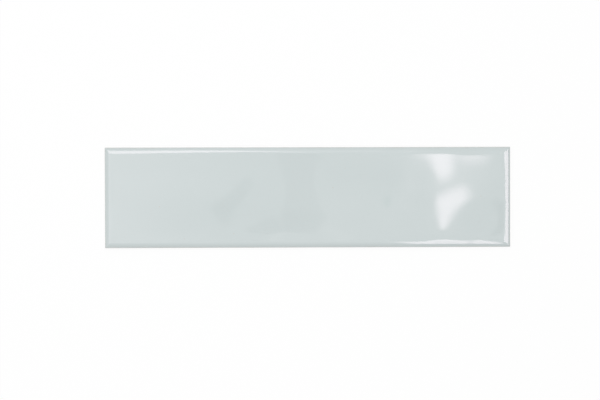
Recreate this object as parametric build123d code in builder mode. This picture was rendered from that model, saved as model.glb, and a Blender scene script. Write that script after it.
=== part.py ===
from build123d import *
import os
from math import cos, exp, floor, radians, sin

# A pressed and glazed wall tile lying on its back: X along it, Y across it,
# Z up out of the glaze, with the origin in the middle of the back. Millimetres.

# The fired tile
tile_length = 299.0
tile_width = 74.0
tile_thickness = 8.5  # from the ribs on the back to the glaze where the face is level
shoulder_radius = 4.5  # the face rolls over into the four sides
corner_radius = 0.8  # upright corners, seen from above
foot_chamfer = 0.5  # round the back

# The key pressed into the back: shallow pockets between crossing ribs
pocket_length = 14.0
pocket_width = 12.0
pocket_depth = 0.8
pocket_corner = 2.0
pocket_draft = 30.0  # degrees, so that the press lets go
rib_width = 3.0
rim_width = 6.0  # unbroken rim round all the pockets

# The soft swells and hollows of the hand-finished face
swell_lift = 0.25  # height of a swell whose share is 1
swell_reach = 14.0  # from its middle to where such a swell has mostly faded
swell_fade = 8.0  # the face comes level over this width beside the shoulders
point_spacing = 4.0  # between the points that the face is drawn through
fewest_steps = 4  # between points, so that the face stays smooth on a small tile
face_tolerance = 0.005

# Each swell has its place along and across the tile as shares of the half length
# and half width, its reach along and across as shares of swell_reach, its turn in
# degrees, and its share of swell_lift, which is below zero in a hollow.
swells = [
    (-0.80, 0.20, 2.4, 1.4, 0, 0.4),
    (-0.60, -0.60, 2.0, 1.0, 10, -0.4),
    (-0.30, -0.68, 0.9, 0.6, 0, 0.2),
    (-0.20, 0.15, 0.9, 1.2, -15, -0.2),
    (-0.07, -0.75, 0.8, 0.6, 0, 0.3),
    (-0.03, 0.10, 1.2, 1.6, 0, 0.2),
    (0.08, -0.35, 0.9, 0.9, 0, 0.3),
    (0.20, 0.40, 1.4, 1.0, 0, -0.4),
    (0.39, 0.40, 0.9, 0.9, 0, -0.3),
    (0.39, -0.25, 0.7, 0.8, 0, 0.3),
    (0.53, -0.10, 0.7, 0.8, 0, -0.3),
    (0.54, 0.35, 0.7, 0.7, 0, -0.35),
    (0.66, -0.85, 0.8, 1.0, 0, 0.55),
    (0.84, -0.45, 0.8, 0.9, -30, -0.35),
]

# The face proper lies between the shoulders
face_length = tile_length - 2 * shoulder_radius
face_width = tile_width - 2 * shoulder_radius


def fade(place, size):
    """0 at both ends of a size and 1 from swell_fade inside them, with a smooth rise."""
    inside = min(1.0, max(0.0, (size / 2 - abs(place)) / swell_fade))
    return inside * inside * (3 - 2 * inside)


def swelling(x, y):
    """Height of the face above its level parts at a point of the tile."""
    height = 0.0
    for along, across, reach_along, reach_across, turn, share in swells:
        dx = x - along * tile_length / 2
        dy = y - across * tile_width / 2
        c, s = cos(radians(turn)), sin(radians(turn))
        u = (c * dx + s * dy) / (reach_along * swell_reach)
        v = (c * dy - s * dx) / (reach_across * swell_reach)
        height += share * swell_lift * exp(-u * u - v * v)
    return height * fade(x, face_length) * fade(y, face_width)


def stations(size):
    """Evenly spaced places from one end of a size to the other."""
    steps = max(fewest_steps, round(size / point_spacing))
    return [(i / steps - 0.5) * size for i in range(steps + 1)]


def how_many(size, step):
    """How many pockets fit along a size inside the rim, at one for each step."""
    return max(1, floor((size - 2 * rim_width + rib_width) / step))


face_points = [
    [Vector(x, y, tile_thickness + swelling(x, y)) for y in stations(face_width)]
    for x in stations(face_length)
]
swelling_face = Face.make_surface_from_array_of_points(
    face_points, tol=face_tolerance, min_deg=3
)
skin_depth = 2 * swell_lift + pocket_depth  # of the level skin that the swells replace

with BuildPart() as glazed_tile:
    # the pressed blank, with its face rolled over into the sides
    with BuildSketch():
        Rectangle(tile_length, tile_width)
    extrude(amount=tile_thickness)
    fillet(glazed_tile.faces().sort_by(Axis.Z)[-1].edges(), shoulder_radius)

    # the level face between the shoulders gives way to the swelling one
    with BuildSketch(Plane.XY.offset(tile_thickness)):
        Rectangle(face_length, face_width)
    extrude(amount=-skin_depth, mode=Mode.SUBTRACT)
    extrude(swelling_face, amount=2 * skin_depth, dir=(0, 0, -1))

    # upright corners
    with BuildSketch():
        with GridLocations(tile_length, tile_width, 2, 2):
            Rectangle(2 * corner_radius, 2 * corner_radius)
        with GridLocations(
            tile_length - 2 * corner_radius, tile_width - 2 * corner_radius, 2, 2
        ):
            Circle(corner_radius, mode=Mode.SUBTRACT)
    extrude(amount=tile_thickness, mode=Mode.SUBTRACT)
    chamfer(glazed_tile.faces().sort_by(Axis.Z)[0].edges(), foot_chamfer)

    # the key on the back
    pitch_along = pocket_length + rib_width
    pitch_across = pocket_width + rib_width
    with BuildSketch():
        with GridLocations(
            pitch_along,
            pitch_across,
            how_many(tile_length, pitch_along),
            how_many(tile_width, pitch_across),
        ):
            RectangleRounded(pocket_length, pocket_width, pocket_corner)
    extrude(amount=pocket_depth, taper=pocket_draft, mode=Mode.SUBTRACT)

glazed_tile.part.label = "glazed_tile"
os.makedirs("parts", exist_ok=True)
export_step(glazed_tile.part, "parts/glazed_tile.step")
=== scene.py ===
import bpy
import bmesh
import math
from mathutils import Matrix, Vector


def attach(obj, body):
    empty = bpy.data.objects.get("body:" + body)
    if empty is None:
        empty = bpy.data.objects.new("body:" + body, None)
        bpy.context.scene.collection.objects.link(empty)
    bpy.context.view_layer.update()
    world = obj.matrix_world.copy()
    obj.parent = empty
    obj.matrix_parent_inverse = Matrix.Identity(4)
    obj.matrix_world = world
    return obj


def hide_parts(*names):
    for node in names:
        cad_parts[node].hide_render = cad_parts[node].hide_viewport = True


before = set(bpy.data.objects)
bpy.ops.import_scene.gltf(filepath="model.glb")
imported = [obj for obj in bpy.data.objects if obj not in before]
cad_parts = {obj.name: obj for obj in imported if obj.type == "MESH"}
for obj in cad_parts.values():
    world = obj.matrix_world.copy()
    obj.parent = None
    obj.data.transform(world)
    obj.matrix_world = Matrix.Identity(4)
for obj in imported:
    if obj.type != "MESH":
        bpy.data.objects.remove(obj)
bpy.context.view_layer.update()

# metres, X along the tile, Y across it, Z up out of the glaze
tile = {
    "length": 0.299,
    "width": 0.074,
    "thickness": 0.0085,  # to the glaze where the face is level
    "shoulderRadius": 0.0045,  # the face rolls over into the sides
    "shoulderRows": 14,
    "mitreSoftness": 0.0006,  # the glaze rounds the line where two shoulders meet
    "mitreShare": 0.35,  # and less so where they have hardly begun
    "cornerRadius": 0.0008,
    "footChamfer": 0.0005,
    "faceStep": 0.001,  # size of one square of the face's mesh
    "crispBelow": 0.00075,  # edges under this height stay crisp
    "crispAngle": 25.0,  # where they turn by more degrees than this
    "clayBelow": 0.00085,  # faces under this height are bare clay
}

# soft swells and hollows of the hand-finished face: place along and across as shares of
# the half length and half width, reach along and across as shares of the common reach,
# turn in degrees, share of the lift
undulation = {
    "lift": 0.00025,
    "reach": 0.014,
    "fade": 0.008,  # the face comes level beside the shoulders
    "swells": [
        (-0.80, 0.20, 2.4, 1.4, 0, 0.4),
        (-0.60, -0.60, 2.0, 1.0, 10, -0.4),
        (-0.30, -0.68, 0.9, 0.6, 0, 0.2),
        (-0.20, 0.15, 0.9, 1.2, -15, -0.2),
        (-0.07, -0.75, 0.8, 0.6, 0, 0.3),
        (-0.03, 0.10, 1.2, 1.6, 0, 0.2),
        (0.08, -0.35, 0.9, 0.9, 0, 0.3),
        (0.20, 0.40, 1.4, 1.0, 0, -0.4),
        (0.39, 0.40, 0.9, 0.9, 0, -0.3),
        (0.39, -0.25, 0.7, 0.8, 0, 0.3),
        (0.53, -0.10, 0.7, 0.8, 0, -0.3),
        (0.54, 0.35, 0.7, 0.7, 0, -0.35),
        (0.66, -0.85, 0.8, 1.0, 0, 0.55),
        (0.84, -0.45, 0.8, 0.9, -30, -0.35),
    ],
}

# the roll of the shoulder is wider or narrower here and there: side, middle along it,
# reach and extra share
widerRolls = [
    ("front", 0.100, 0.012, 0.4),
    ("front", 0.124, 0.008, 0.3),
    ("right", 0.031, 0.008, 0.2),
    ("right", 0.0, 0.04, 0.07),
    ("right", -0.006, 0.007, -0.12),
    ("right", -0.034, 0.006, 0.3),
    ("rear", -0.135, 0.02, 0.15),
    ("rear", -0.05, 0.03, -0.15),
    ("rear", 0.068, 0.008, 0.25),
    ("rear", 0.120, 0.012, 0.25),
]

# shallow pockets pressed into the back, which key it to the adhesive
key = {
    "pocketLength": 0.014,
    "pocketWidth": 0.012,
    "pocketDepth": 0.0008,
    "pocketCorner": 0.002,
    "cornerSegments": 5,
    "draft": 30.0,  # degrees
    "rib": 0.003,
    "along": 17,
    "across": 4,
    "plugBelow": 0.001,  # the plug for a pocket starts this far below the back
}


def deselectAll():
    if bpy.context.object and bpy.context.object.mode != "OBJECT":
        bpy.ops.object.mode_set(mode="OBJECT")
    bpy.ops.object.select_all(action="DESELECT")


def selectOnly(piece):
    deselectAll()
    piece.select_set(True)
    bpy.context.view_layer.objects.active = piece


def editParts(piece, kind, wanted):
    # goes into edit mode with only the wanted faces or edges selected
    selectOnly(piece)
    bpy.ops.object.mode_set(mode="EDIT")
    bpy.ops.mesh.select_mode(type=kind)
    bpy.ops.mesh.select_all(action="DESELECT")
    shape = bmesh.from_edit_mesh(piece.data)
    parts = shape.faces if kind == "FACE" else shape.edges
    for part in parts:
        if wanted(part):
            part.select_set(True)
    shape.select_flush_mode()
    bmesh.update_edit_mesh(piece.data)


def smoothRise(t):
    t = min(1.0, max(0.0, t))
    return t * t * (3 - 2 * t)


def swelling(x, y):
    height = 0.0
    for along, across, reachAlong, reachAcross, turn, share in undulation["swells"]:
        dx = x - along * tile["length"] / 2
        dy = y - across * tile["width"] / 2
        c, s = math.cos(math.radians(turn)), math.sin(math.radians(turn))
        u = (c * dx + s * dy) / (reachAlong * undulation["reach"])
        v = (c * dy - s * dx) / (reachAcross * undulation["reach"])
        height += share * undulation["lift"] * math.exp(-u * u - v * v)
    for place, size in ((x, tile["length"]), (y, tile["width"])):
        inside = size / 2 - tile["shoulderRadius"] - abs(place)
        height *= smoothRise(inside / undulation["fade"])
    return height


def rollWidth(side, place):
    wider = [
        share * math.exp(-(((place - middle) / reach) ** 2))
        for where, middle, reach, share in widerRolls
        if where == side
    ]
    return tile["shoulderRadius"] * (1 + sum(wider))


def shoulderDrop(inside, width):
    # how far the rolled shoulder lies below the face at a distance in from a side
    t = min(1.0, max(0.0, 1 - inside / width))
    return tile["shoulderRadius"] * (1 - math.sqrt(1 - t * t))


def softMax(a, b, softness):
    overlap = max(0.0, softness - abs(a - b)) / softness
    return max(a, b) + overlap * overlap * softness / 4


def faceHeight(x, y):
    endRoll = rollWidth("right" if x > 0 else "left", y)
    sideRoll = rollWidth("rear" if y > 0 else "front", x)
    dropX = shoulderDrop(tile["length"] / 2 - abs(x), endRoll)
    dropY = shoulderDrop(tile["width"] / 2 - abs(y), sideRoll)
    drop = max(dropX, dropY)
    if min(dropX, dropY) > 0:
        softness = min(tile["mitreSoftness"], tile["mitreShare"] * drop)
        drop = softMax(dropX, dropY, softness)
    drop = min(drop, tile["shoulderRadius"])
    return tile["thickness"] - drop + swelling(x, y)


def stations(size):
    # places of the mesh lines along a side, closer together in the shoulder
    radius, rows = tile["shoulderRadius"], tile["shoulderRows"]
    shoulder = [radius * (1 - math.cos(math.pi / 2 * i / rows)) for i in range(rows)]
    flat = size - 2 * radius
    steps = round(flat / tile["faceStep"])
    field = [radius + flat * i / steps for i in range(steps + 1)]
    places = shoulder + field + [size - d for d in reversed(shoulder)]
    return [d - size / 2 for d in places]


def roundCorner(x, y):
    # the square of the mesh at an upright corner is drawn in to a quarter circle
    radius = tile["cornerRadius"]
    a = (abs(x) - (tile["length"] / 2 - radius)) / radius
    b = (abs(y) - (tile["width"] / 2 - radius)) / radius
    if a <= 0 or b <= 0:
        return x, y
    newA = a * math.sqrt(1 - b * b / 2)
    newB = b * math.sqrt(1 - a * a / 2)
    roundX = tile["length"] / 2 - radius + newA * radius
    roundY = tile["width"] / 2 - radius + newB * radius
    return math.copysign(roundX, x), math.copysign(roundY, y)


def makeFace():
    # a flat grid of squares, whose points are then pressed to the face's shape
    columns, rows = stations(tile["length"]), stations(tile["width"])
    deselectAll()
    bpy.ops.mesh.primitive_grid_add(
        x_subdivisions=len(columns) - 1, y_subdivisions=len(rows) - 1, size=1
    )
    piece = bpy.context.object
    piece.name = "tileWithGlaze"
    for point in piece.data.vertices:
        column = round((point.co.x + 0.5) * (len(columns) - 1))
        row = round((point.co.y + 0.5) * (len(rows) - 1))
        x, y = roundCorner(columns[column], rows[row])
        point.co = (x, y, faceHeight(x, y))
    return piece


def addSides(piece):
    # the rim is drawn down to the foot, turned in by the chamfer and closed by the back
    chamfer = tile["footChamfer"]
    editParts(piece, "EDGE", lambda edge: edge.is_boundary)
    bpy.ops.mesh.extrude_edges_move(
        TRANSFORM_OT_translate={"value": (0, 0, -tile["thickness"])}
    )
    bpy.ops.transform.resize(value=(1, 1, 0), center_override=(0, 0, chamfer))
    bpy.ops.mesh.extrude_edges_move(TRANSFORM_OT_translate={"value": (0, 0, -chamfer)})
    turnIn = [1 - 2 * chamfer / tile[side] for side in ("length", "width")]
    bpy.ops.transform.resize(value=(*turnIn, 1), center_override=(0, 0, 0))
    bpy.ops.mesh.edge_face_add()
    bpy.ops.mesh.select_all(action="SELECT")
    bpy.ops.mesh.normals_make_consistent(inside=False)
    bpy.ops.object.mode_set(mode="OBJECT")


def pressKey(piece):
    # one plug has the shape of a pocket, and its copies press all the pockets at once
    depth, below = key["pocketDepth"], key["plugBelow"]
    deselectAll()
    bpy.ops.mesh.primitive_cube_add(size=1, location=(0, 0, 0))
    plug = bpy.context.object
    plug.name = "pocketPlug"
    bpy.ops.object.mode_set(mode="EDIT")
    bpy.ops.transform.resize(
        value=(key["pocketLength"], key["pocketWidth"], depth + below)
    )
    bpy.ops.transform.translate(value=(0, 0, (depth - below) / 2))
    bpy.ops.object.mode_set(mode="OBJECT")
    editParts(plug, "EDGE", lambda edge: edge.verts[0].co.xy == edge.verts[1].co.xy)
    bpy.ops.mesh.bevel(offset=key["pocketCorner"], segments=key["cornerSegments"])
    bpy.ops.object.mode_set(mode="OBJECT")
    editParts(plug, "FACE", lambda face: face.normal.z > 0.9)  # only its top
    slope = 2 * (depth + below) * math.tan(math.radians(key["draft"]))
    narrow = [1 - slope / key[side] for side in ("pocketLength", "pocketWidth")]
    bpy.ops.transform.resize(value=(*narrow, 1), center_override=(0, 0, depth))
    bpy.ops.object.mode_set(mode="OBJECT")

    pitch = {
        "along": key["pocketLength"] + key["rib"],
        "across": key["pocketWidth"] + key["rib"],
    }
    for number, direction in enumerate(("along", "across")):
        row = plug.modifiers.new(direction, "ARRAY")
        row.count = key[direction]
        row.use_relative_offset = False
        row.use_constant_offset = True
        offset = [0, 0, 0]
        offset[number] = pitch[direction]
        row.constant_offset_displace = offset
        selectOnly(plug)
        bpy.ops.object.modifier_apply(modifier=row.name)
    start = [-(key[direction] - 1) * pitch[direction] / 2 for direction in pitch]
    plug.data.transform(Matrix.Translation((*start, 0)))

    press = piece.modifiers.new("key", "BOOLEAN")
    press.operation = "DIFFERENCE"
    press.solver = "EXACT"
    press.object = plug
    selectOnly(piece)
    bpy.ops.object.modifier_apply(modifier=press.name)
    bpy.data.objects.remove(plug)


def finishShading(piece):
    # smooth all over, with crisp lines only at the foot and round the pockets
    turn = math.radians(tile["crispAngle"])
    selectOnly(piece)
    bpy.ops.object.shade_smooth()
    editParts(
        piece,
        "EDGE",
        lambda edge: max(point.co.z for point in edge.verts) < tile["crispBelow"]
        and edge.calc_face_angle(0) > turn,
    )
    bpy.ops.mesh.mark_sharp()
    bpy.ops.object.mode_set(mode="OBJECT")


piece = makeFace()
print("face pressed:", len(piece.data.polygons), "squares")
addSides(piece)
print("sides and foot drawn down")
pressKey(piece)
print("back keyed:", len(piece.data.polygons), "faces")
finishShading(piece)

glazeLook = {
    "thinColour": (0.613, 0.668, 0.669),
    "pooledColour": (0.583, 0.642, 0.642),
    "heightRange": 0.00022,  # from pooled to thin glaze, either side of the level face
    "driftScale": 9.0,  # soft streaks along the tile
    "driftStretch": (1, 3.2, 1),
    "driftShare": 0.35,  # of the tint that comes from them, the rest from the height
    "grainScale": 900.0,
    "grainShare": 0.08,
    "arrisGlazeAndShadeColour": (0.553, 0.575, 0.538),  # thin glaze over the body at the rim, darkened as painted shade where the shoulder rolls away
    "arrisStart": 0.0016,  # how far below the level face it begins
    "arrisEnd": 0.0036,  # and is complete
    "arrisShare": 0.75,
    "arrisScale": 130.0,
    "arrisWander": 0.0004,
    "pinholeScale": 110.0,
    "pinholeFree": 0.98,  # share of the cells without one
    "pinholeRadius": 0.05,  # of the widest, in cells
    "pinholeShare": 0.5,
    "lineHeight": 0.0019,  # where the glaze ends on the sides
    "lineScale": 45.0,
    "lineWander": 0.0009,
    "lineSoftness": 0.00008,
    "ior": 1.55,
    "roughness": 0.035,
    "roughnessScale": 30.0,
    "roughnessSpread": 0.01,
    "rippleScale": 160.0,
    "rippleShare": 0.01,
    "stepShare": 0.6,  # of the relief, by which the glaze stands above the clay
}
bodyLook = {
    "lightColour": (0.70, 0.655, 0.585),
    "darkColour": (0.56, 0.515, 0.45),
    "grainSize": 0.0005,
    "grainShare": 0.6,
    "cloudScale": 60.0,
    "toneRange": (0.6, 1.0),  # sums of grain and clouds that are darkest and lightest
    "speckColour": (0.33, 0.25, 0.19),
    "speckScale": 420.0,
    "speckFree": 0.90,  # share of the cells without one
    "speckRadius": 0.32,  # of the widest, in cells
    "speckShare": 0.7,
    "speckDepth": 0.3,
    "pocketShade": 0.5,  # share of the dark colour on the pocket floors
    "pocketTop": 0.0001,  # height above the ribs where that shade begins
    "roughness": 0.88,
    "roughnessSpread": 0.06,
}
relief = {
    "strength": 0.5,
    "depth": 0.00015,
}
noiseRange = (0.3, 0.7)  # nearly all values of a noise lie in it


def addNode(tree, kind, inputs=None, **settings):
    node = tree.nodes.new(kind)
    for name, value in settings.items():
        setattr(node, name, value)
    for name, value in (inputs or {}).items():
        socket = node.inputs[name]
        if isinstance(value, bpy.types.NodeSocket):
            tree.links.new(value, socket)
        else:
            socket.default_value = value
    return node


def newGroup(name, inputs, outputs):
    # a node group, with the kind of each of its sockets
    group = bpy.data.node_groups.new(name, "ShaderNodeTree")
    for way, sockets in (("INPUT", inputs), ("OUTPUT", outputs)):
        for socket, kind in sockets.items():
            group.interface.new_socket(
                socket, in_out=way, socket_type="NodeSocket" + kind
            )
    source = group.nodes.new("NodeGroupInput").outputs
    result = group.nodes.new("NodeGroupOutput").inputs
    return group, source, result


def mixColour(tree, share, first, second):
    # sockets 6 and 7 of a colour mix are its two colours
    return addNode(
        tree, "ShaderNodeMix", {0: share, 6: first, 7: second}, data_type="RGBA"
    ).outputs[2]


def mixValue(tree, share, first, second):
    # sockets 2 and 3 of a number mix are its two numbers
    return addNode(
        tree, "ShaderNodeMix", {0: share, 2: first, 3: second}, data_type="FLOAT"
    ).outputs[0]


def rampValue(tree, value, low, high, outLow=0.0, outHigh=1.0, smooth=True):
    return addNode(
        tree,
        "ShaderNodeMapRange",
        {
            "Value": value,
            "From Min": low,
            "From Max": high,
            "To Min": outLow,
            "To Max": outHigh,
        },
        interpolation_type="SMOOTHSTEP" if smooth else "LINEAR",
    ).outputs["Result"]


def combine(tree, operation, first, second):
    return addNode(
        tree, "ShaderNodeMath", {0: first, 1: second}, operation=operation
    ).outputs[0]


def noiseAt(tree, place, scale, stretch=(1, 1, 1), detail=2.0, seed=0.0):
    mapping = addNode(
        tree,
        "ShaderNodeMapping",
        {"Vector": place, "Scale": stretch, "Location": (seed, seed / 2, 0)},
    )
    return addNode(
        tree,
        "ShaderNodeTexNoise",
        {"Vector": mapping.outputs[0], "Scale": scale, "Detail": detail},
    ).outputs["Fac"]


def spreadNoise(tree, noise, low, high):
    return rampValue(tree, noise, *noiseRange, low, high)


def spotsAt(tree, place, scale, free, radius, dimensions="3D"):
    # 1 inside round spots, which only some of the cells have, each of its own size
    cells = addNode(
        tree,
        "ShaderNodeTexVoronoi",
        {"Vector": place, "Scale": scale},
        voronoi_dimensions=dimensions,
    ).outputs
    chance = addNode(tree, "ShaderNodeSeparateColor", {"Color": cells["Color"]})
    size = rampValue(tree, chance.outputs[0], free, 1.0, 0.0, radius, smooth=False)
    return combine(tree, "LESS_THAN", cells["Distance"], size)


def reliefFrom(tree, height):
    return addNode(
        tree,
        "ShaderNodeBump",
        {"Height": height, "Strength": relief["strength"], "Distance": relief["depth"]},
    ).outputs[0]


def opaque(colour):
    return (*colour, 1.0)


def makeFiredBody():
    # unglazed fired clay: fine grain, soft cloudy tone and a few dark grog specks
    colours = ("Light", "Dark", "Specks")
    group, source, result = newGroup(
        "firedBody",
        {"Place": "Vector", "Grain Scale": "Float", **dict.fromkeys(colours, "Color")},
        {"Colour": "Color", "Height": "Float"},
    )
    place = source["Place"]
    grain = addNode(
        group,
        "ShaderNodeTexNoise",
        {"Vector": place, "Scale": source["Grain Scale"], "Detail": 3.0},
    ).outputs["Fac"]
    clouds = noiseAt(group, place, bodyLook["cloudScale"], seed=3.0)
    tone = combine(group, "MULTIPLY", grain, bodyLook["grainShare"])
    tone = combine(group, "ADD", tone, clouds)
    tone = rampValue(group, tone, *bodyLook["toneRange"])
    colour = mixColour(group, tone, source["Dark"], source["Light"])
    inSpeck = spotsAt(
        group,
        place,
        bodyLook["speckScale"],
        bodyLook["speckFree"],
        bodyLook["speckRadius"],
    )
    share = combine(group, "MULTIPLY", inSpeck, bodyLook["speckShare"])
    colour = mixColour(group, share, colour, source["Specks"])
    depth = combine(group, "MULTIPLY", inSpeck, bodyLook["speckDepth"])
    height = combine(group, "SUBTRACT", grain, depth)
    group.links.new(colour, result["Colour"])
    group.links.new(height, result["Height"])
    return group


def placeFiredBody(tree, group, place):
    body = addNode(
        tree,
        "ShaderNodeGroup",
        {
            "Place": place,
            "Grain Scale": 1 / bodyLook["grainSize"],
            "Light": opaque(bodyLook["lightColour"]),
            "Dark": opaque(bodyLook["darkColour"]),
            "Specks": opaque(bodyLook["speckColour"]),
        },
        node_tree=group,
    )
    return body.outputs["Colour"], body.outputs["Height"]


def newMaterial(name):
    material = bpy.data.materials.new(name)
    material.use_nodes = True
    tree = material.node_tree
    tree.nodes.clear()
    surface = tree.nodes.new("ShaderNodeOutputMaterial").inputs["Surface"]
    return material, tree, surface


def makeBodyMaterial(group):
    material, tree, surface = newMaterial("firedClay")
    place = addNode(tree, "ShaderNodeTexCoord").outputs["Object"]
    colour, height = placeFiredBody(tree, group, place)
    # the pocket floors are mixed towards the dark clay colour, more the deeper they lie
    z = addNode(tree, "ShaderNodeSeparateXYZ", {"Vector": place}).outputs["Z"]
    inPocket = rampValue(
        tree, z, bodyLook["pocketTop"], key["pocketDepth"], 0.0, bodyLook["pocketShade"]
    )
    colour = mixColour(tree, inPocket, colour, opaque(bodyLook["darkColour"]))
    rough = bodyLook["roughness"]
    roughness = spreadNoise(tree, height, rough - bodyLook["roughnessSpread"], rough)
    shader = addNode(
        tree,
        "ShaderNodeBsdfPrincipled",
        {
            "Base Color": colour,
            "Roughness": roughness,
            "Normal": reliefFrom(tree, height),
        },
    )
    tree.links.new(shader.outputs[0], surface)
    return material


def makeGlazeMaterial(group):
    material, tree, surface = newMaterial("paleGlaze")
    place = addNode(tree, "ShaderNodeTexCoord").outputs["Object"]
    z = addNode(tree, "ShaderNodeSeparateXYZ", {"Vector": place}).outputs["Z"]
    level = tile["thickness"]

    # the glaze is deeper and greener where it pooled, and it drifted in soft streaks
    reach = glazeLook["heightRange"]
    thin = rampValue(tree, z, level - reach, level + reach)
    drift = noiseAt(
        tree,
        place,
        glazeLook["driftScale"],
        stretch=glazeLook["driftStretch"],
        detail=3.0,
        seed=7.0,
    )
    drift = spreadNoise(tree, drift, 0.0, 1.0)
    thin = mixValue(tree, glazeLook["driftShare"], thin, drift)
    grain = noiseAt(tree, place, glazeLook["grainScale"])
    share = glazeLook["grainShare"]
    thin = combine(tree, "ADD", thin, spreadNoise(tree, grain, -share, share))
    colour = mixColour(
        tree, thin, opaque(glazeLook["pooledColour"]), opaque(glazeLook["thinColour"])
    )

    # it draws thin over the arris, where the body shows through, and its colour there
    # is also darkened as painted shade of the rolled shoulder
    wander = noiseAt(tree, place, glazeLook["arrisScale"], seed=2.0)
    reach = glazeLook["arrisWander"]
    edge = combine(tree, "ADD", z, spreadNoise(tree, wander, -reach, reach))
    start, end = level - glazeLook["arrisStart"], level - glazeLook["arrisEnd"]
    # painted shade: the rim is mixed towards a colour darker than glaze or body
    arrisGlazeAndShade = rampValue(tree, edge, start, end, 0.0, glazeLook["arrisShare"])
    colour = mixColour(tree, arrisGlazeAndShade, colour, opaque(glazeLook["arrisGlazeAndShadeColour"]))

    # a few pinholes, each a fraction of a millimetre
    pinhole = spotsAt(
        tree,
        place,
        glazeLook["pinholeScale"],
        glazeLook["pinholeFree"],
        glazeLook["pinholeRadius"],
        dimensions="2D",
    )
    share = combine(tree, "MULTIPLY", pinhole, glazeLook["pinholeShare"])
    colour = mixColour(tree, share, colour, opaque(bodyLook["darkColour"]))

    # lower down the sides it ends in a wandering line, and bare clay begins
    bodyColour, bodyHeight = placeFiredBody(tree, group, place)
    run = noiseAt(tree, place, glazeLook["lineScale"], detail=3.0, seed=5.0)
    reach = glazeLook["lineWander"]
    line = spreadNoise(tree, run, -reach, reach)
    line = combine(tree, "ADD", line, glazeLook["lineHeight"])
    above = combine(tree, "SUBTRACT", z, line)
    softness = glazeLook["lineSoftness"]
    glazed = rampValue(tree, above, -softness, softness)
    colour = mixColour(tree, glazed, bodyColour, colour)

    sheen = noiseAt(tree, place, glazeLook["roughnessScale"], seed=9.0)
    rough, spread = glazeLook["roughness"], glazeLook["roughnessSpread"]
    gloss = spreadNoise(tree, sheen, rough - spread, rough + spread)
    roughness = mixValue(tree, glazed, bodyLook["roughness"], gloss)
    ripple = noiseAt(tree, place, glazeLook["rippleScale"], detail=1.0)
    ripple = combine(tree, "MULTIPLY", ripple, glazeLook["rippleShare"])
    height = mixValue(tree, glazed, bodyHeight, ripple)
    step = combine(tree, "MULTIPLY", glazed, glazeLook["stepShare"])
    height = combine(tree, "ADD", height, step)
    shader = addNode(
        tree,
        "ShaderNodeBsdfPrincipled",
        {
            "Base Color": colour,
            "Roughness": roughness,
            "Normal": reliefFrom(tree, height),
            "IOR": glazeLook["ior"],
        },
    )
    tree.links.new(shader.outputs[0], surface)
    return material


firedBody = makeFiredBody()
piece.data.materials.clear()
piece.data.materials.append(makeGlazeMaterial(firedBody))
piece.data.materials.append(makeBodyMaterial(firedBody))
for face in piece.data.polygons:
    face.material_index = 1 if face.center.z < tile["clayBelow"] else 0
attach(piece, "root")
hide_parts("glazed_tile")
print("materials on the tile")

studio = {
    "glowColour": (1.0, 0.84, 0.9),  # of all the reflectors
    "floorSize": 6.0,
    "floorColour": (0.93, 0.93, 0.93),
    "floorGlow": 0.9,  # share of the floor that the camera sees as plain white
    "worldDiffuse": 0.56,  # strength of the world as it lights matt surfaces
    "worldSeen": 1.0,  # as the camera sees it
    "worldInGloss": 0.65,  # and as gloss shows it
    "keyPlace": (-0.17, 0.2, 1.3),
    "keySize": 1.0,
    "keyPower": 10.0,
}
# what the glaze mirrors: each panel runs from its near edge to its far edge, and has a
# width, which may taper, round corners and a soft border
reflectors = {
    "upperBox": {
        "near": (0.232, -0.0004, 1.2125),
        "far": (0.2425, 0.0819, 1.2125),
        "width": 0.062,
        "round": 0.03,
        "border": 0.026,
        "glow": 4.1,
    },
    "upperWing": {
        "near": (0.183, 0.05, 1.2205),
        "far": (0.238, 0.05, 1.2205),
        "width": 0.04,
        "round": 0.02,
        "border": 0.02,
        "glow": 1.3,
    },
    "lowerBox": {
        "near": (0.2895, -0.0057, 1.2085),
        "far": (0.2165, -0.0383, 1.2085),
        "width": 0.064,
        "taper": 0.2,
        "round": 0.022,
        "border": 0.024,
        "glow": 4.8,
    },
    "haloBox": {
        "near": (0.15, 0.03, 1.2245),
        "far": (0.335, 0.03, 1.2245),
        "width": 0.18,
        "round": 0.09,
        "border": 0.09,
        "glow": 1.05,
    },
    "leftBox": {
        "near": (-1.4, 0.05, 1.2285),
        "far": (-0.05, 0.05, 1.2285),
        "width": 1.6,
        "round": 0.4,
        "border": 0.4,
        "glow": 1.15,
    },
    "wispBox": {
        "near": (0.2514, 0.0467, 1.2165),
        "far": (0.3247, 0.0467, 1.2165),
        "width": 0.0423,
        "round": 0.03,
        "border": 0.03,
        "glow": 3.3,
    },
    "lobeBox": {
        "near": (-0.0318, -0.08, 1.2165),
        "far": (0.0163, -0.08, 1.2165),
        "width": 0.0296,
        "round": 0.008,
        "border": 0.008,
        "glow": 0.5,
    },
    "wedgeBox": {
        "near": (0.0235, -0.0751, 1.2125),
        "far": (0.0993, -0.0791, 1.2125),
        "width": 0.0219,
        "round": 0.008,
        "border": 0.008,
        "glow": 0.3,
    },
    "rightWall": {
        "near": (0.5, 0.0, 1.2085),
        "far": (1.9, 0.0, 0.26),
        "width": 0.8,
        "round": 0.1,
        "border": 0.1,
        "glow": 4.8,
    },
    "frontWall": {
        "near": (0.226, -0.25, 1.2085),
        "far": (0.28, -1.2, 0.72),
        "width": 0.192,
        "taper": 0.05,
        "round": 0.05,
        "border": 0.05,
        "glow": 4.7,
    },
    "rearWall": {
        "near": (-0.267, 0.2, 1.2085),
        "far": (-0.453, 1.25, 0.72),
        "width": 0.76,
        "round": 0.14,
        "border": 0.14,
        "glow": 3.6,
    },
    "rearFill": {
        "near": (-0.15, 0.3, 1.2125),
        "far": (-0.15, 1.8, 0.4),
        "width": 0.95,
        "round": 0.25,
        "border": 0.25,
        "glow": 0.6,
    },
}
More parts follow.
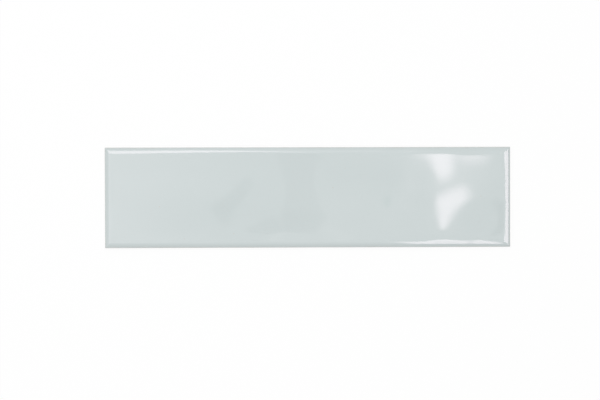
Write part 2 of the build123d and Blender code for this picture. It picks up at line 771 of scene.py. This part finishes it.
# dark gaps between the lamps overhead, each with what is left of the light in it
gaps = {
    "middleGap": {
        "near": (-0.0191, 0.0014, 1.2085),
        "far": (0.0533, 0.0014, 1.2085),
        "width": 0.1881,
        "round": 0.02,
        "border": 0.006,
        "left": (0.38, 0.38, 0.38),
    },
    "lowGap": {
        "near": (-0.017, -0.0524, 1.2045),
        "far": (0.0662, -0.0524, 1.2045),
        "width": 0.0399,
        "round": 0.015,
        "border": 0.006,
        "left": (0.38, 0.38, 0.38),
    },
    "tongueGap": {
        "near": (-0.0668, -0.0681, 1.2005),
        "far": (-0.013, -0.0547, 1.2005),
        "width": 0.043,
        "round": 0.014,
        "border": 0.006,
        "left": (0.38, 0.38, 0.38),
    },
    "leafGap": {
        "near": (-0.1187, -0.0524, 1.2085),
        "far": (-0.0495, 0.0122, 1.2085),
        "width": 0.0297,
        "taper": 0.1,
        "round": 0.014,
        "border": 0.005,
        "left": (0.2, 0.22, 0.22),
    },
    "smallGap": {
        "near": (0.1362, -0.008, 1.2085),
        "far": (0.168, -0.008, 1.2085),
        "width": 0.039,
        "round": 0.014,
        "border": 0.006,
        "left": (0.0, 0.3, 0.2),
    },
    "endGap": {
        "near": (0.304, -0.046, 1.2005),
        "far": (0.342, -0.046, 1.2005),
        "width": 0.054,
        "round": 0.016,
        "border": 0.006,
        "left": (0.0, 0.0, 0.0),
    },
}


def makeSoftBorder():
    # 1 inside a panel and 0 at its rim, across a soft border in metres
    sizes = ("Length", "Width", "Taper", "Round", "Border")
    group, source, result = newGroup(
        "softBorder",
        {**dict.fromkeys(sizes, "Float"), "Panel": "Vector"},
        {"Mask": "Float"},
    )
    flat = addNode(group, "ShaderNodeSeparateXYZ", {"Vector": source["Panel"]}).outputs
    # the near end is narrower than the far end by the taper's share
    narrow = combine(group, "SUBTRACT", 1.0, source["Taper"])
    spread = addNode(
        group,
        "ShaderNodeMath",
        {0: source["Taper"], 1: flat["X"], 2: narrow},
        operation="MULTIPLY_ADD",
    ).outputs[0]
    beyond = []
    for axis, size, stretch in (("X", "Length", 1.0), ("Y", "Width", spread)):
        fromMiddle = combine(group, "SUBTRACT", flat[axis], 0.5)
        fromMiddle = combine(group, "MULTIPLY", fromMiddle, source[size])
        fromMiddle = addNode(
            group, "ShaderNodeMath", {0: fromMiddle}, operation="ABSOLUTE"
        ).outputs[0]
        half = combine(group, "MULTIPLY", source[size], 0.5)
        half = combine(group, "MULTIPLY", half, stretch)
        straight = combine(group, "SUBTRACT", half, source["Round"])
        past = combine(group, "SUBTRACT", fromMiddle, straight)
        past = combine(group, "MAXIMUM", past, 0.0)
        beyond.append(combine(group, "MULTIPLY", past, past))
    distance = combine(group, "POWER", combine(group, "ADD", *beyond), 0.5)
    inside = combine(group, "SUBTRACT", source["Round"], distance)
    mask = rampValue(group, inside, 0.0, source["Border"])
    group.links.new(mask, result["Mask"])
    return group


def addPanel(name, look, group):
    near, far = Vector(look["near"]), Vector(look["far"])
    along = far - near
    across = Vector((0, 0, 1)).cross(along).normalized()
    facing = along.normalized().cross(across)
    deselectAll()
    bpy.ops.mesh.primitive_plane_add(size=1)
    panel = bpy.context.object
    panel.name = name
    turn = Matrix((along.normalized(), across, facing)).transposed().to_4x4()
    stretch = Matrix.Diagonal((along.length, look["width"], 1, 1))
    panel.matrix_world = Matrix.Translation((near + far) / 2) @ turn @ stretch
    material, tree, surface = newMaterial(name)
    mask = addNode(
        tree,
        "ShaderNodeGroup",
        {
            "Panel": addNode(tree, "ShaderNodeTexCoord").outputs["UV"],
            "Length": along.length,
            "Width": look["width"],
            "Taper": look.get("taper", 0.0),
            "Round": look["round"],
            "Border": look["border"],
        },
        node_tree=group,
    ).outputs["Mask"]
    if "glow" in look:
        colour = mixColour(tree, mask, opaque((0, 0, 0)), opaque(studio["glowColour"]))
        light = addNode(
            tree, "ShaderNodeEmission", {"Color": colour, "Strength": look["glow"]}
        )
        clear = addNode(tree, "ShaderNodeBsdfTransparent")
        both = addNode(
            tree, "ShaderNodeAddShader", {0: light.outputs[0], 1: clear.outputs[0]}
        )
    else:
        tint = mixColour(tree, mask, opaque((1, 1, 1)), opaque(look["left"]))
        both = addNode(tree, "ShaderNodeBsdfTransparent", {"Color": tint})
    tree.links.new(both.outputs[0], surface)
    material.cycles.emission_sampling = "NONE"
    panel.data.materials.append(material)
    # only gloss shows a panel
    panel.visible_camera = False
    panel.visible_diffuse = False
    panel.visible_shadow = False


def makeFloor():
    deselectAll()
    bpy.ops.mesh.primitive_plane_add(size=studio["floorSize"])
    floor = bpy.context.object
    floor.name = "studioFloor"
    material, tree, surface = newMaterial("floorWhite")
    matt = addNode(
        tree, "ShaderNodeBsdfDiffuse", {"Color": opaque(studio["floorColour"])}
    )
    white = addNode(tree, "ShaderNodeEmission")
    path = tree.nodes.new("ShaderNodeLightPath").outputs
    share = combine(tree, "MULTIPLY", path["Is Camera Ray"], studio["floorGlow"])
    both = addNode(
        tree, "ShaderNodeMixShader", {0: share, 1: matt.outputs[0], 2: white.outputs[0]}
    )
    tree.links.new(both.outputs[0], surface)
    floor.data.materials.append(material)


def makeWorld():
    world = bpy.data.worlds.new("studioWorld")
    bpy.context.scene.world = world
    world.use_nodes = True
    tree = world.node_tree
    tree.nodes.clear()
    path = tree.nodes.new("ShaderNodeLightPath").outputs
    strength = studio["worldDiffuse"]
    rays = {"Is Camera Ray": "worldSeen", "Is Glossy Ray": "worldInGloss"}
    for ray, seen in rays.items():
        more = studio[seen] - studio["worldDiffuse"]
        more = combine(tree, "MULTIPLY", path[ray], more)
        strength = combine(tree, "ADD", more, strength)
    light = addNode(
        tree,
        "ShaderNodeBackground",
        {"Color": opaque((1, 1, 1)), "Strength": strength},
    )
    surface = tree.nodes.new("ShaderNodeOutputWorld").inputs["Surface"]
    tree.links.new(light.outputs[0], surface)


def addKeyLight():
    bpy.ops.object.light_add(type="AREA", location=studio["keyPlace"])
    lamp = bpy.context.object
    lamp.name = "keyLight"
    lamp.data.size = studio["keySize"]
    lamp.data.energy = studio["keyPower"]
    towards = -Vector(studio["keyPlace"])
    lamp.rotation_euler = towards.to_track_quat("-Z", "Y").to_euler()
    lamp.visible_glossy = False  # the reflectors stand for it there


makeFloor()
makeWorld()
addKeyLight()
softBorder = makeSoftBorder()
for name, look in {**reflectors, **gaps}.items():
    addPanel(name, look, softBorder)
print("studio lit")

# the camera looks almost straight down, from a little to the left and to the rear
view = {
    "place": (-0.02863, 0.01353, 1.1085),
    "target": (-0.00603, -0.00187, 0.0085),
    "roll": -0.146,  # degrees
    "lens": 89.86,
    "sensor": 36.0,
}


def addCamera():
    deselectAll()
    bpy.ops.object.camera_add(location=view["place"])
    camera = bpy.context.object
    camera.data.lens = view["lens"]
    camera.data.sensor_width = view["sensor"]
    back = (Vector(view["place"]) - Vector(view["target"])).normalized()
    right = Vector((0, 1, 0)).cross(back).normalized()
    aim = Matrix((right, back.cross(right), back)).transposed().to_4x4()
    roll = Matrix.Rotation(math.radians(view["roll"]), 4, "Z")
    camera.matrix_world = Matrix.Translation(view["place"]) @ aim @ roll
    bpy.context.scene.camera = camera


addCamera()
bpy.context.scene.view_settings.view_transform = "Standard"
